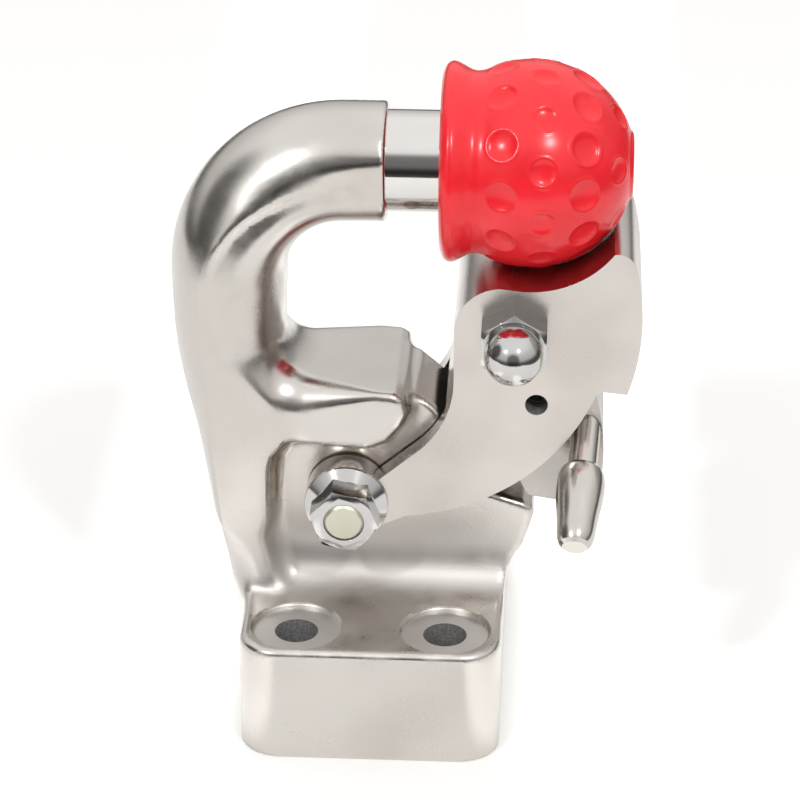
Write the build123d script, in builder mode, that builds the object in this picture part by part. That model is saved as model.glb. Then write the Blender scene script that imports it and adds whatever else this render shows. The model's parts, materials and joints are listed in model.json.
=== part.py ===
from build123d import *
import os
from math import cos, radians, sin, sqrt

# Combination pintle hook with a tow ball, a swinging latch and a rubber ball cap.
# X runs from the hook's back towards the latch, Y across the hook, Z up from the
# mounting face. The origin is the centre of the four bolt holes on that face.

os.makedirs("parts", exist_ok=True)

# ---- driving dimensions, millimetres ----

# mounting block
block_width = 78.0
block_length = 116.0
block_height = 37.0
block_corner = 12.0
block_edge = 2.0
bolt_pitch_x = 44.45
bolt_pitch_y = 85.73
bolt_hole = 13.0
spot_face = 26.0
spot_depth = 0.9
foot_fillet = 12.0

# hook body
web_half = 15.5
plate_foot = 20.0
web_overhang = 0.2
pocket_slope = 32.0
shelf_height = 105.5
jaw_gap = 5.2
horn_axis_height = 170.4
horn_bend_x = -9.5
horn_bend_radius = 34.6
horn_radius = 17.2
horn_end_x = 3.0

# tow ball and its rubber cap
ball_x = 45.0
ball_diameter = 50.0
neck_diameter = 29.8
shank_diameter = 20.0
shank_length = 24.0
shank_relief = 0.2
cap_wall = 5.0
cap_gap = 0.4
cap_rim_reach = 26.4
dimple_depth = 1.3
dimple_ball = 9.0
dimple_rings = ((-8.5, 12, 3), (3.5, 12, 18), (15.5, 12, 3), (25.0, 6, 18))

# latch
pivot_x = -8.3
pivot_z = 68.8
cheek_wall = 7.5
boss_wall = 4.75
saddle_inset = 0.2
seat_gap = 0.6
bridge_wall = 8.2
wall_reach = 21.5
wall_thickness = 7.0
web_clearance = 2.8
lock_pin_x = 47.9
lock_pin_z = 103.6
lock_pin_hole = 6.7

# web under the latch: a disc about the pivot and a lip that the lever locks over
disc_radius = 38.5
lip_right = 47.8
lip_top = 65.4

# lock lever
lever_x = 41.1
hub_under_cap = 5.2
lever_side_gap = 1.0
hub_half = 8.0
hub_wall = 1.15
hub_clearance = 0.8
shoulder_room = 8.2
lip_gap = 2.9
pull_x = 62.8
pull_z = 91.0
pull_droop = 32.0
pull_lean = 4.0
pull_neck = 8.8
pull_neck_length = 13.0
pull_body = 14.3
pull_tip = 9.4
pull_length = 26.5
pull_stud = 6.0
pull_stud_length = 6.0
pull_seat = 3.0
pull_seat_cut = 12.0
stud_end_gap = 0.5

# fasteners, bushes and the lever's spring
bolt_diameter = 12.0
running_gap = 0.05
bush_wall = 1.6
thrust_washer = 0.8
washer_gap = 0.1
washer_inset = 0.8
washer_play = 0.3
flange_rim = 6.6
flange_height = 3.6
nut_height = 12.0
hex_wall = 3.0
cap_nut_wall = 3.5
cap_nut_hex = 10.0
cap_nut_height = 21.8
dome_wall = 2.6
dome_foot = 5.0
dome_cap = 7.0
thread_end_gap = 2.0
plain_washer = 2.0
plain_washer_rim = 6.0
bolt_head = 7.5
nut_rim = 1.4
cap_nut_rim = 1.6
bolt_rim = 1.2
cut_over = 2.0
bolt_end_out = 0.4
bolt_chamfer = 0.9
spacer_wall = 0.9
spacer_play = 0.3
spacer_end_gap = 0.1
spring_wire = 1.8
spring_play = 0.35
spring_side_gap = 0.4
spring_turns = 2.25
spring_pitch = 2.3
spring_leg = 3.0
spring_leg_gap = 0.3

# ---- values that follow ----
bend_z = horn_axis_height - horn_bend_radius
bolt_radius = bolt_diameter / 2
bolt_bore = bolt_radius + running_gap
bush_outer = bolt_bore + bush_wall
shank_radius = shank_diameter / 2
slot_half = web_half + thrust_washer + 2 * washer_gap
body_half = slot_half + cheek_wall
lever_half = slot_half - lever_side_gap
boss_radius = bush_outer + boss_wall
hub_radius = bush_outer + hub_wall
shoulder_radius = hub_radius + shoulder_room
ball_radius = ball_diameter / 2
cap_inside = ball_radius + cap_gap
cap_radius = cap_inside + cap_wall
cap_rim_x = ball_x - cap_rim_reach
jaw_under = pivot_z + boss_radius + jaw_gap
web_right = block_width / 2 + web_overhang
lever_z = horn_axis_height - cap_radius - hub_under_cap - hub_radius
spacer_radius = bolt_bore + spacer_wall
spring_radius = spacer_radius + spring_play + spring_wire / 2
hex_flats = bolt_diameter + 2 * hex_wall
cap_nut_flats = bolt_diameter + 2 * cap_nut_wall
pivot = (pivot_x, pivot_z)
lever_axis = (lever_x, lever_z)
lock_pin = (lock_pin_x, lock_pin_z)
ball_centre = (ball_x, horn_axis_height)
side = Plane.XZ


def around(centre, radius, angle):
    """Point on a circle, with the angle in degrees from the first axis."""
    return (
        centre[0] + radius * cos(radians(angle)),
        centre[1] + radius * sin(radians(angle)),
    )


def across(y):
    """Plane across the hook at y, facing the front: local x is X and local y is Z."""
    return side.offset(-y)


def finish(part, name):
    """Label a finished piece and write it as its own STEP file."""
    part.label = name
    export_step(part, f"parts/{name}.step")
    solids = part.solids()
    box = part.bounding_box()
    print(f"{name:22s} solids {len(solids)} volume {part.volume:10.0f} size {box.size}")


# ---- hook body ----

# Level cuts of the spine: height, then x of the round back's apex, of the ridge
# where the flat side starts, of the side's inner end and of the throat wall.
spine_cuts = [
    (plate_foot, -38.9, -33.0, -31.0, -27.0),
    (30, -43.6, -33.6, -31.0, -27.0),
    (42, -47.3, -34.6, -32.0, -28.0),
    (60, -50.4, -42.6, -36.0, -29.0),
    (82, -54.2, -46.8, -38.0, -28.0),
    (104, -59.0, -48.3, -38.0, -26.0),
    (120, -61.2, -49.2, -39.0, -27.6),
]
bend_steps = 6
ridge_offset = (5.2, 1.6)
flat_offset = (-5.0, -2.4)
horn_half = (body_half - 0.8, horn_radius + 0.6)


def section_plane(x, z, angle):
    """Plane across the horn: local x points to the hook's outer side."""
    outward = (-cos(radians(angle)), 0, sin(radians(angle)))
    along = (sin(radians(angle)), 0, cos(radians(angle)))
    return Plane(origin=(x, 0, z), x_dir=outward, z_dir=along)


def horn_section(plane, crown, ridge, flat, throat, half):
    """Horn outline: round crown, flat sides and an elliptical throat side."""
    with BuildSketch(plane) as section:
        with BuildLine():
            ThreePointArc((ridge, half), (crown, 0), (ridge, -half))
            Line((ridge, -half), (flat, -half))
            rounding = [
                (flat - (flat - throat) * sin(radians(a)), -half * cos(radians(a)))
                for a in (0, 35, 65, 90, 115, 145, 180)
            ]
            Spline(*rounding, tangents=((-1, 0), (1, 0)))
            Line((flat, half), (ridge, half))
        make_face()
    return section.sketch


def between(ends, share):
    """Value that eases from the first to the second as share goes from 0 to 1."""
    return ends[0] + (ends[1] - ends[0]) * (1 - cos(radians(180 * share))) / 2


sections = [
    horn_section(section_plane(0, z, 0), -back, -ridge, -flat, -throat, body_half)
    for z, back, ridge, flat, throat in spine_cuts
]
for step in range(bend_steps + 1):
    share = step / bend_steps
    sections.append(
        horn_section(
            section_plane(horn_bend_x, bend_z, 90 * share),
            horn_bend_radius + horn_radius,
            horn_bend_radius + between(ridge_offset, share),
            horn_bend_radius + between(flat_offset, share),
            horn_bend_radius - horn_radius,
            between(horn_half, share),
        )
    )

disc_start = around(pivot, disc_radius, 56)
disc_end = around(pivot, disc_radius, 2)
foot_start = -30.0

with BuildPart() as hook_body:
    # mounting block
    with BuildSketch(Plane.XY):
        RectangleRounded(block_width, block_length, block_corner)
    extrude(amount=block_height)
    fillet(hook_body.edges().group_by(Axis.Z)[-1], block_edge)
    # spine, jaw and web as one thick plate
    with BuildSketch(side):
        with BuildLine():
            Polyline(
                (web_right, plate_foot), (-33, plate_foot), (-34.4, 42), (-39.9, 51), (-44.4, 66),
                (-47.4, 88), (-48.3, 107), (-38, 112), (-22, 106.6), (8.4, shelf_height - 1), disc_start,
            )
            ThreePointArc(disc_start, around(pivot, disc_radius, 28), disc_end)
            Line(disc_end, (lip_right - 3, lip_top))
            TangentArc((lip_right - 3, lip_top), (lip_right, lip_top - 3.2), tangent=(1, -0.1))
            Spline(
                (lip_right, lip_top - 3.2), (46.6, 56.5), (44.0, 49.5), (41.0, 44.6), (web_right, 38),
                tangents=((0, -1), (0, -1)),
            )
            Line((web_right, 38), (web_right, plate_foot))
        make_face()
    extrude(amount=body_half, both=True)
    # round back and horn
    loft(sections=sections, ruled=True)
    with BuildSketch(Plane.YZ.offset(horn_bend_x)):
        with Locations((0, horn_axis_height)):
            Circle(horn_radius)
    extrude(amount=horn_end_x - horn_bend_x)
    # pockets on both sides leave the thin web that the latch straddles
    for face_y, inward in ((-body_half, 1), (body_half, -1)):
        with BuildSketch(Plane(origin=(0, face_y, 0), x_dir=(1, 0, 0), z_dir=(0, inward, 0))):
            with BuildLine():
                corners = [
                    (-28.6, block_height), (-28.8, 42), (-33.2, 56), (-34.8, 80), (-30.5, 88.6),
                    (-13.4, jaw_under + 0.8), (-2.0, jaw_under), (4.4, jaw_under + 3.2),
                    (9.6, 98.6), (9.0, 125), (90, 125), (90, block_height),
                ]
                Polyline(*[(x, -inward * z) for x, z in corners], close=True)
            make_face()
        extrude(amount=body_half - web_half, taper=pocket_slope, mode=Mode.SUBTRACT)
    # hollow corner between the block and the web
    with BuildSketch(Plane.YZ.offset(foot_start)):
        foot = web_half + foot_fillet
        with BuildLine():
            Polyline((foot, block_height), (0, block_height), (0, block_height + foot_fillet))
            Line((0, block_height + foot_fillet), (web_half, block_height + foot_fillet))
            ThreePointArc(
                (web_half, block_height + foot_fillet),
                around((foot, block_height + foot_fillet), foot_fillet, 225),
                (foot, block_height),
            )
        make_face()
        mirror(about=Plane.YZ)
    extrude(amount=web_right - foot_start)
    # four bolt holes with spot faces
    with Locations(Plane.XY.offset(block_height)):
        with GridLocations(bolt_pitch_x, bolt_pitch_y, 2, 2):
            CounterBoreHole(bolt_hole / 2, spot_face / 2, spot_depth, depth=block_height)
    # bore for the pivot bush and for the ball's shank
    with BuildSketch(side):
        with Locations(pivot):
            Circle(bush_outer)
    extrude(amount=body_half, both=True, mode=Mode.SUBTRACT)
    with BuildSketch(Plane.YZ.offset(horn_end_x)):
        with Locations((0, horn_axis_height)):
            Circle(shank_radius)
    extrude(amount=-shank_length, mode=Mode.SUBTRACT)
finish(hook_body.part, "hook_body")

# ---- tow ball: shank, neck and ball turned in one piece ----
neck_radius = neck_diameter / 2
ball_flat = 8.5
neck_meets_ball = ball_x - sqrt(ball_radius**2 - neck_radius**2)
shank_end = horn_end_x - shank_length + shank_relief

turning = Plane(origin=(0, 0, horn_axis_height), x_dir=(1, 0, 0), z_dir=(0, -1, 0))
turning_axis = Axis((0, 0, horn_axis_height), (1, 0, 0))

with BuildPart() as tow_ball:
    with BuildSketch(turning):
        with BuildLine():
            flat_x = ball_x + sqrt(ball_radius**2 - ball_flat**2)
            Polyline(
                (flat_x, ball_flat), (flat_x, 0), (shank_end, 0),
                (shank_end, shank_radius - 1), (shank_end + 1, shank_radius),
                (horn_end_x, shank_radius), (horn_end_x, neck_radius),
                (neck_meets_ball, neck_radius),
            )
            ThreePointArc(
                (neck_meets_ball, neck_radius), (ball_x, ball_radius), (flat_x, ball_flat)
            )
        make_face()
    revolve(axis=turning_axis)
finish(tow_ball.part, "tow_ball")

# ---- rubber cap: a round skin over the ball, with a waist and a flared rim ----
cap_disc = 10.2
cap_lip = 0.4
cap_grip = cap_inside - 3.2
grip_x = ball_x - sqrt(cap_inside**2 - cap_grip**2)
cap_disc_x = ball_x + sqrt(cap_radius**2 - cap_disc**2)

with BuildPart() as ball_cap:
    with BuildSketch(turning):
        with BuildLine():
            Polyline(
                (ball_x + cap_inside, 0), (cap_disc_x + cap_lip, 0),
                (cap_disc_x + cap_lip, cap_disc - 1.5), (cap_disc_x, cap_disc),
            )
            shoulder = around((ball_x, 0), cap_radius, 117)
            ThreePointArc((cap_disc_x, cap_disc), (ball_x, cap_radius), shoulder)
            rim_top = (cap_rim_x + 3.8, cap_radius - 1.4)
            Spline(
                shoulder, (shoulder[0] - 2.6, cap_radius - 4), rim_top,
                tangents=((-0.89, -0.45), (-0.9, 0.1)),
            )
            mouth = (cap_rim_x, cap_radius - 5.8)
            Spline(
                rim_top, (cap_rim_x + 0.9, cap_radius - 3.2), mouth, tangents=((-1, 0), (0, -1))
            )
            Spline(
                mouth, (cap_rim_x + 5.5, cap_radius - 5.2), (grip_x - 3.5, cap_grip + 0.2),
                (grip_x, cap_grip),
            )
            ThreePointArc(
                (grip_x, cap_grip), (ball_x, cap_inside), (ball_x + cap_inside, 0)
            )
        make_face()
    revolve(axis=turning_axis)
    # rings of round dimples: place from the ball's centre, count, and turn of the first one
    for station, count, first in dimple_rings:
        reach = sqrt(cap_radius**2 - station**2)
        lift = 1 + (dimple_ball - dimple_depth) / cap_radius
        centres = []
        for k in range(count):
            y, z = around((0, horn_axis_height), reach * lift, 180 - first - 360 / count * k)
            centres.append((ball_x + station * lift, y, z))
        with Locations(*centres):
            Sphere(dimple_ball, mode=Mode.SUBTRACT)
finish(ball_cap.part, "ball_cap")

# ---- latch: two cheeks, a bridge with the ball's saddle, and the claw ----
seat_radius = cap_radius + seat_gap
saddle_radius = cap_radius - saddle_inset
saddle_start = around(ball_centre, saddle_radius, -97)
saddle_end = around(ball_centre, saddle_radius, -36)
wall_x = ball_x - wall_reach
wall_inner = wall_x + wall_thickness
wall_top = (wall_x, horn_axis_height - cap_radius - 13)
shoulder_mid = (ball_x - 17.4, horn_axis_height - cap_radius - 3.1)
shoulder_end = (ball_x - 8, horn_axis_height - cap_radius + 1)
tip_top = (saddle_end[0] + 4.17, saddle_end[1] - 0.95)
tip_side = (saddle_end[0] + 6.27, saddle_end[1] - 4.05)
claw_foot = (ball_x + 29.4, 107.6)
bridge_under = seat_radius + bridge_wall
claw_inner = 70.5
claw_under = 121.0
cheek_arc = (3.6, 130.7)
cheek_arc_radius = 66.0

with BuildPart() as latch:
    with BuildSketch(side):
        with BuildLine():
            Line((-1, 75), (11.5, 85.7))
            ThreePointArc((11.5, 85.7), (20.4, 96.8), (wall_x, 111))
            Line((wall_x, 111), wall_top)
            ThreePointArc(wall_top, shoulder_mid, shoulder_end)
            Line(shoulder_end, saddle_start)
            ThreePointArc(saddle_start, around(ball_centre, saddle_radius, -62), saddle_end)
            ThreePointArc(saddle_end, tip_top, tip_side)
            ThreePointArc(tip_side, (ball_x + 33, 134), claw_foot)
            Line(claw_foot, (67.6, 108.3))
            arc_top = around(cheek_arc, cheek_arc_radius, -22)
            ThreePointArc((67.6, 108.3), (65.8, 107.6), arc_top)
            arc_foot = around(cheek_arc, cheek_arc_radius, -85)
            ThreePointArc(arc_top, around(cheek_arc, cheek_arc_radius, -50), arc_foot)
            Polyline(arc_foot, (0, 60.5), (-1, 75))
        make_face()
        with Locations(pivot):
            Circle(boss_radius)
    extrude(amount=body_half, both=True)
    # shallow round seat that clears the capped ball
    with Locations((ball_x, 0, horn_axis_height)):
        Sphere(seat_radius, mode=Mode.SUBTRACT)
    # hollow between the cheeks
    with BuildSketch(side):
        with BuildLine():
            ceiling_left = around(ball_centre, bridge_under, -112)
            ceiling_right = around(ball_centre, bridge_under, -49)
            ThreePointArc(ceiling_left, around(ball_centre, bridge_under, -80), ceiling_right)
            Polyline(
                ceiling_right, (claw_inner, claw_under), (100, claw_under), (100, 40), (-40, 40),
                (-40, 90), (wall_inner, 90), ceiling_left,
            )
        make_face()
        with Locations(pivot):
            Circle(disc_radius + web_clearance)
        with Locations(lever_axis):
            Circle(hub_radius + hub_clearance)
    extrude(amount=slot_half, both=True, mode=Mode.SUBTRACT)
    # bores for both bolts and for a lock pin
    with BuildSketch(side):
        with Locations(pivot, lever_axis):
            Circle(bolt_bore)
        with Locations(lock_pin):
            Circle(lock_pin_hole / 2)
    extrude(amount=body_half, both=True, mode=Mode.SUBTRACT)
    # blind hole in the back cheek for the spring's leg
    with BuildSketch(across(slot_half)):
        with Locations(around(lever_axis, spring_radius, 0)):
            Circle(spring_wire / 2 + running_gap)
    extrude(amount=-spring_leg, mode=Mode.SUBTRACT)
finish(latch.part, "latch")

# ---- lock lever: a narrow hub on the lever bolt and a full-width lower block ----
tooth_left = lip_right - 2.7
tooth_z = lip_top + lip_gap
lean = (-sin(radians(pull_lean)), -cos(radians(pull_lean)) * cos(radians(pull_droop)))
pull_down = -cos(radians(pull_lean)) * sin(radians(pull_droop))


def pull_plane(front, depth):
    """Plane across a finger pull, at a depth below the lever's side face."""
    y = 1 if front else -1
    direction = Vector(lean[0], y * lean[1], pull_down)
    foot_point = Vector(pull_x, -y * lever_half, pull_z) - direction * depth
    return Plane(origin=foot_point, x_dir=(1, 0, -lean[0] / pull_down), z_dir=direction)


with BuildPart() as lever:
    with BuildSketch(side):
        with BuildLine():
            Polyline(
                (lever_x - hub_radius + 0.3, lever_z - 2), (36.5, 100), (38.5, 86),
                (tooth_left - 1.7, tooth_z + 5), (tooth_left, tooth_z + 1.4),
                (tooth_left + 1.5, tooth_z), (53.1, tooth_z - 1), (62, tooth_z - 2),
                (66.2, tooth_z - 0.8), (67.4, 72),
            )
            ThreePointArc((67.4, 72), (68.2, 84), (65.4, 103))
            Polyline(
                (65.4, 103), (59, 113), (lever_x + hub_radius - 0.5, lever_z + 2),
                (lever_x - hub_radius + 0.3, lever_z - 2),
            )
        make_face()
        with Locations(lever_axis):
            Circle(hub_radius)
    extrude(amount=lever_half, both=True)
    # room beside the hub for the spring and the spacers
    for face_y in (-hub_half, hub_half):
        with BuildSketch(across(face_y)):
            with Locations(lever_axis):
                Circle(shoulder_radius)
        extrude(amount=(lever_half - hub_half) * (1 if face_y < 0 else -1), mode=Mode.SUBTRACT)
    with BuildSketch(side):
        with Locations(lever_axis):
            Circle(bush_outer)
        with Locations(lock_pin):
            Circle(lock_pin_hole / 2)
    extrude(amount=lever_half, both=True, mode=Mode.SUBTRACT)
    # seats and holes for the two finger pulls
    for front in (True, False):
        with BuildSketch(pull_plane(front, pull_seat)):
            Circle(pull_neck / 2 + running_gap)
        extrude(amount=pull_seat_cut, mode=Mode.SUBTRACT)
        with BuildSketch(pull_plane(front, pull_seat + pull_stud_length + stud_end_gap)):
            Circle(pull_stud / 2 + running_gap)
        extrude(amount=pull_stud_length + cut_over, mode=Mode.SUBTRACT)
finish(lever.part, "lever")


def finger_pull(front):
    """Turned pull: threaded stud, neck, and a bullet-shaped grip."""
    neck = pull_neck / 2
    grip = pull_body / 2
    tip = pull_tip / 2
    stud = pull_stud_length
    start = pull_seat + pull_neck_length
    end = start + pull_length
    with BuildPart() as pull:
        plane = pull_plane(front, pull_seat)
        upright = Plane(origin=plane.origin, x_dir=plane.z_dir, z_dir=plane.y_dir)
        with BuildSketch(upright):
            with BuildLine():
                Polyline(
                    (end, 0), (-stud, 0), (-stud, pull_stud / 2 - 0.8), (0.8 - stud, pull_stud / 2),
                    (0, pull_stud / 2), (0, neck), (start, neck), (start, neck + 0.9),
                )
                Line((start, neck + 0.9), (start + 1.2, neck + 1.9))
                Spline(
                    (start + 1.2, neck + 1.9), (start + 8, grip), (end - 7, grip - 1.3),
                    (end - 0.9, tip), tangents=((1, 0.45), (1, -0.5)),
                )
                Polyline((end - 0.9, tip), (end, tip - 1), (end, 0))
            make_face()
        revolve(axis=Axis(plane.origin, plane.z_dir))
    return pull.part


finish(finger_pull(True), "finger_pull_front")
finish(finger_pull(False), "finger_pull_back")


# ---- bushes, washers and spacers round the two bolts ----
def ring(centre, inner, outer, start_y, end_y):
    """Plain tube along Y, as a bush, a washer or a spacer."""
    with BuildPart() as tube:
        with BuildSketch(across(start_y)):
            with Locations(centre):
                Circle(outer)
                Circle(inner, mode=Mode.SUBTRACT)
        extrude(amount=start_y - end_y)
    return tube.part


spacer_inner = hub_half + spacer_play
spacer_outer = slot_half - spacer_end_gap
finish(ring(pivot, bolt_bore, bush_outer, -web_half, web_half), "pivot_bush")
finish(ring(lever_axis, bolt_bore, bush_outer, -hub_half, hub_half), "lever_bush")
for name, face in (("front", -1), ("back", 1)):
    washer = ring(
        pivot, bolt_bore + washer_play, boss_radius - washer_inset,
        face * (web_half + washer_gap), face * (slot_half - washer_gap),
    )
    finish(washer, f"thrust_washer_{name}")
    spacer = ring(
        lever_axis, bolt_bore, spacer_radius, face * spacer_inner, face * spacer_outer,
    )
    finish(spacer, f"lever_spacer_{name}")
washer_radius = bolt_radius + plain_washer_rim
head_face = body_half + plain_washer
finish(ring(lever_axis, bolt_bore, washer_radius, body_half, head_face), "lever_bolt_washer")


# ---- bolts and nuts ----
def hexagon(centre, flats, turn, start_y, end_y, rim):
    """Hexagonal prism along Y whose corners are turned down to a cone at its end."""
    with BuildPart() as prism:
        with BuildSketch(across(start_y)):
            with Locations(centre):
                RegularPolygon(flats / 2, 6, major_radius=False, rotation=turn)
        extrude(amount=start_y - end_y)
        outward = -1 if end_y < start_y else 1
        length = abs(end_y - start_y)
        base = Plane(origin=(centre[0], start_y, centre[1]), x_dir=(1, 0, 0), z_dir=(0, 0, 1))
        corner = flats / sqrt(3)
        with BuildSketch(base):
            Polygon(
                (0, 0), (corner + 1, 0), (corner + 1, outward * (length - rim)),
                (flats / 2 - 0.3, outward * length), (0, outward * length), align=None,
            )
        revolve(axis=Axis((centre[0], start_y, centre[1]), (0, 1, 0)), mode=Mode.INTERSECT)
    return prism.part


def flange(centre, start_y, outward):
    """Conical flange under a hexagon."""
    base = Plane(origin=(centre[0], start_y, centre[1]), x_dir=(1, 0, 0), z_dir=(0, 0, 1))
    rim = bolt_radius + flange_rim
    crown = hex_flats / 2 + 0.2
    with BuildPart() as disc:
        with BuildSketch(base):
            Polygon(
                (0, 0), (rim - 0.3, 0), (rim, outward * 0.5), (rim - 0.2, outward * 1.2),
                (crown, outward * flange_height), (0, outward * flange_height), align=None,
            )
        revolve(axis=Axis((centre[0], start_y, centre[1]), (0, 1, 0)))
    return disc.part


def shank(centre, start_y, end_y):
    """Bolt shank that runs towards -Y and ends in a chamfer."""
    with BuildPart() as rod:
        with BuildSketch(across(start_y)):
            with Locations(centre):
                Circle(bolt_radius)
        extrude(amount=start_y - end_y)
        chamfer(rod.edges().group_by(Axis.Y)[0], bolt_chamfer)
    return rod.part


nut_face = -body_half
nut_end = nut_face - nut_height
with BuildPart() as pivot_nut:
    add(flange(pivot, nut_face, -1))
    add(hexagon(pivot, hex_flats, -10, nut_face, nut_end, nut_rim))
    with BuildSketch(across(nut_face)):
        with Locations(pivot):
            Circle(bolt_bore)
    extrude(amount=nut_height + cut_over, mode=Mode.SUBTRACT)
finish(pivot_nut.part, "pivot_nut")

with BuildPart() as pivot_bolt:
    add(flange(pivot, body_half, 1))
    add(hexagon(pivot, hex_flats, 20, body_half, body_half + nut_height, nut_rim))
    add(shank(pivot, body_half, nut_end - bolt_end_out))
finish(pivot_bolt.part, "pivot_bolt")

cap_nut_base = Plane(origin=(lever_x, nut_face, lever_z), x_dir=(1, 0, 0), z_dir=(0, 0, 1))
dome_radius = bolt_radius + dome_wall
dome_start = cap_nut_height - dome_radius
thread_depth = cap_nut_height - dome_cap
with BuildPart() as lever_cap_nut:
    add(hexagon(lever_axis, cap_nut_flats, 30, nut_face, nut_face - cap_nut_hex, cap_nut_rim))
    with BuildSketch(cap_nut_base):
        with BuildLine():
            Polyline(
                (0, -cap_nut_height), (0, -dome_foot), (dome_radius, -dome_foot),
                (dome_radius, -dome_start),
            )
            ThreePointArc(
                (dome_radius, -dome_start),
                around((0, -dome_start), dome_radius, -45),
                (0, -cap_nut_height),
            )
        make_face()
    revolve(axis=Axis((lever_x, 0, lever_z), (0, 1, 0)))
    with BuildSketch(across(nut_face)):
        with Locations(lever_axis):
            Circle(bolt_bore)
    extrude(amount=thread_depth, mode=Mode.SUBTRACT)
finish(lever_cap_nut.part, "lever_cap_nut")

with BuildPart() as lever_bolt:
    add(hexagon(lever_axis, hex_flats, 30, head_face, head_face + bolt_head, bolt_rim))
    add(shank(lever_axis, head_face, nut_face - thread_depth + thread_end_gap))
finish(lever_bolt.part, "lever_bolt")

# ---- torsion spring on the back spacer: coil, round elbow, and a leg in the back cheek ----
coil_start = hub_half + spring_side_gap + spring_wire / 2
coil_height = spring_turns * spring_pitch
leg_start = coil_start + coil_height - spring_wire / 4
with BuildPart() as torsion_spring:
    with BuildLine():
        coil = Helix(
            pitch=spring_pitch, height=coil_height, radius=spring_radius,
            center=(lever_x, coil_start, lever_z), direction=(0, 1, 0),
        )
    with BuildSketch(Plane(origin=coil @ 0, z_dir=coil % 0)):
        Circle(spring_wire / 2)
    sweep()
    with Locations(coil @ 1):
        Sphere(spring_wire / 2)
    with BuildSketch(across(leg_start)):
        with Locations(around(lever_axis, spring_radius, 0)):
            Circle(spring_wire / 2)
    extrude(amount=leg_start - (slot_half + spring_leg - spring_leg_gap))
finish(torsion_spring.part, "torsion_spring")
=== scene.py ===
# %% [markdown]
# # Pintle hook with a tow ball
#
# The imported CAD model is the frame. Cast pieces are modelled again as smooth implicit shapes, turned
# pieces keep their CAD form with softened edges, and every piece gets a procedural finish. All work is
# in metres inside Blender, but shapes are described in millimetres, which read more easily.

import json
from math import cos, pi, radians, sin, sqrt

import bmesh
import bpy
import numpy as np
from mathutils import Matrix, Vector


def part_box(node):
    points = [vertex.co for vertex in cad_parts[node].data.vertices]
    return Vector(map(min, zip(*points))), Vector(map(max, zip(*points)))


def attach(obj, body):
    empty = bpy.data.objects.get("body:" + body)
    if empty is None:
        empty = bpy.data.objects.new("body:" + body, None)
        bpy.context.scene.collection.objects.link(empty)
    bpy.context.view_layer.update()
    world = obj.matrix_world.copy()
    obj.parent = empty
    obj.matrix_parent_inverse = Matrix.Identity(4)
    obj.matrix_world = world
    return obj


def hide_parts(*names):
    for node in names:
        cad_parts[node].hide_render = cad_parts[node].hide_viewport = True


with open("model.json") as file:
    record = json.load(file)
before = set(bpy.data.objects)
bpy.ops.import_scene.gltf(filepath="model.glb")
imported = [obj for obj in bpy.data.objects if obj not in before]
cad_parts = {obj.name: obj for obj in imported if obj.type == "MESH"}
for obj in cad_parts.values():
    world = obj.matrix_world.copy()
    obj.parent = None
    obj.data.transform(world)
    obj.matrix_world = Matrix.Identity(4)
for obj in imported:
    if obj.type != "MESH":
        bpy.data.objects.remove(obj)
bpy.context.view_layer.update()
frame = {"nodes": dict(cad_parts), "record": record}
record = frame["record"]
MM = 0.001
JOINTS = {joint["name"]: joint for joint in record["behaviour"]["joints"]}
MOUNTS = {mount["name"]: mount for mount in record["mounts"]}


def place(entry):
    """(x, z) in millimetres of a joint or mount, seen from the side."""
    return entry["pos_m"][0] / MM, entry["pos_m"][2] / MM


PIVOT = place(JOINTS["latch_swing"])
LEVER = place(JOINTS["lever_swing"])
BALL = place(JOINTS["cap_turn"])
BODY_LOW, BODY_HIGH = (np.array(corner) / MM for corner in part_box("hook_body"))
print("pivot", PIVOT, "lever", LEVER, "ball", BALL)

# %% [markdown]
# ## Shader helpers
#
# Finishes need a lot of small sums, so one class wraps a socket and turns Python's operators into Math
# nodes. Every other node goes through `Finish.node`, which takes settings first and sockets second.

# %% Shader helpers


class Value:
    """A number socket that can be added, multiplied and compared like a number."""

    def __init__(self, tree, socket):
        self.tree = tree
        self.socket = socket

    def math(self, operation, *others):
        """Math node with the given inputs, as a new value."""
        node = self.tree.nodes.new("ShaderNodeMath")
        node.operation = operation
        for socket, other in zip(node.inputs, others):
            if isinstance(other, Value):
                self.tree.links.new(other.socket, socket)
            else:
                socket.default_value = other
        return Value(self.tree, node.outputs[0])

    def __add__(self, other):
        return self.math("ADD", self, other)

    def __radd__(self, other):
        return self.math("ADD", other, self)

    def __sub__(self, other):
        return self.math("SUBTRACT", self, other)

    def __rsub__(self, other):
        return self.math("SUBTRACT", other, self)

    def __mul__(self, other):
        return self.math("MULTIPLY", self, other)

    def __rmul__(self, other):
        return self.math("MULTIPLY", other, self)

    def __truediv__(self, other):
        return self.math("DIVIDE", self, other)

    def __rtruediv__(self, other):
        return self.math("DIVIDE", other, self)

    def ramp(self, low, high):
        """0 below low, 1 above high, and a smooth step between them."""
        share = (self - low) / (high - low)
        share = share.math("MAXIMUM", share.math("MINIMUM", share, 1.0), 0.0)
        return share * share * (3.0 - 2.0 * share)


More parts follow.
